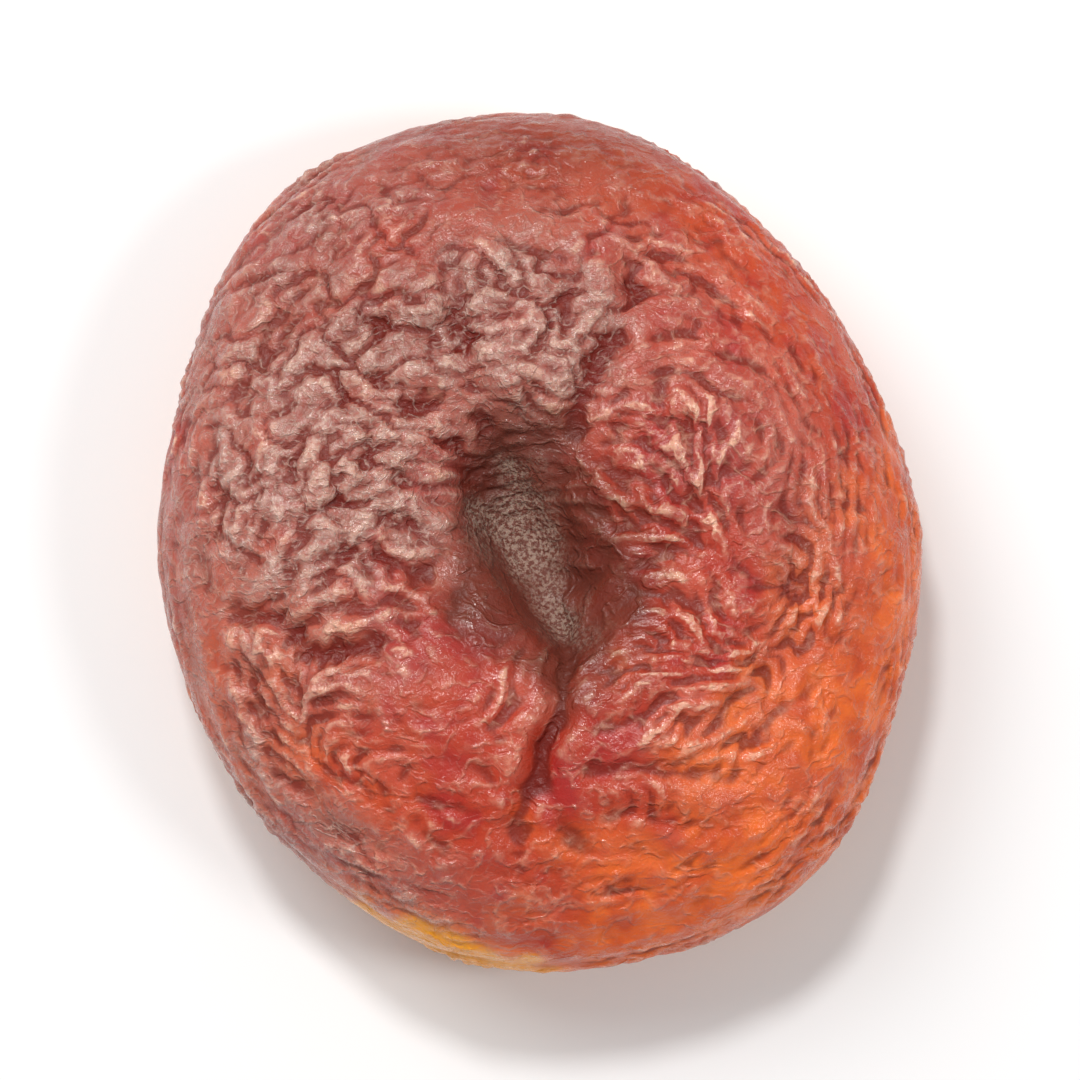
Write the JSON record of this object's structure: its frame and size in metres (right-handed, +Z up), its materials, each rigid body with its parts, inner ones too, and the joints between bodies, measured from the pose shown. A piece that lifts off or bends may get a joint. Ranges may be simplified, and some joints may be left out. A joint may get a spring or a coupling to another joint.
{
  "type": "dried apricot",
  "caption": "Whole dried apricot: a flattened, leathery round fruit with a deep stem dimple, a seam crease and wrinkled skin.",
  "frame": {"origin": "on the surface the fruit lies on, under the middle of its bounding box", "axes": "+Z up, out of the dimple; +Y along the fruit's length, from the seam's lower end towards the knob above the dimple; +X across it"},
  "size_m": [0.0338, 0.038, 0.014],
  "materials": {
    "dried_skin": "wrinkled dried fruit skin with a soft waxy sheen, mauve brown at the dimple and orange at the rim"
  },
  "bodies": {
    "root": {"apricot": "dried_skin"}
  },
  "joints": []
}
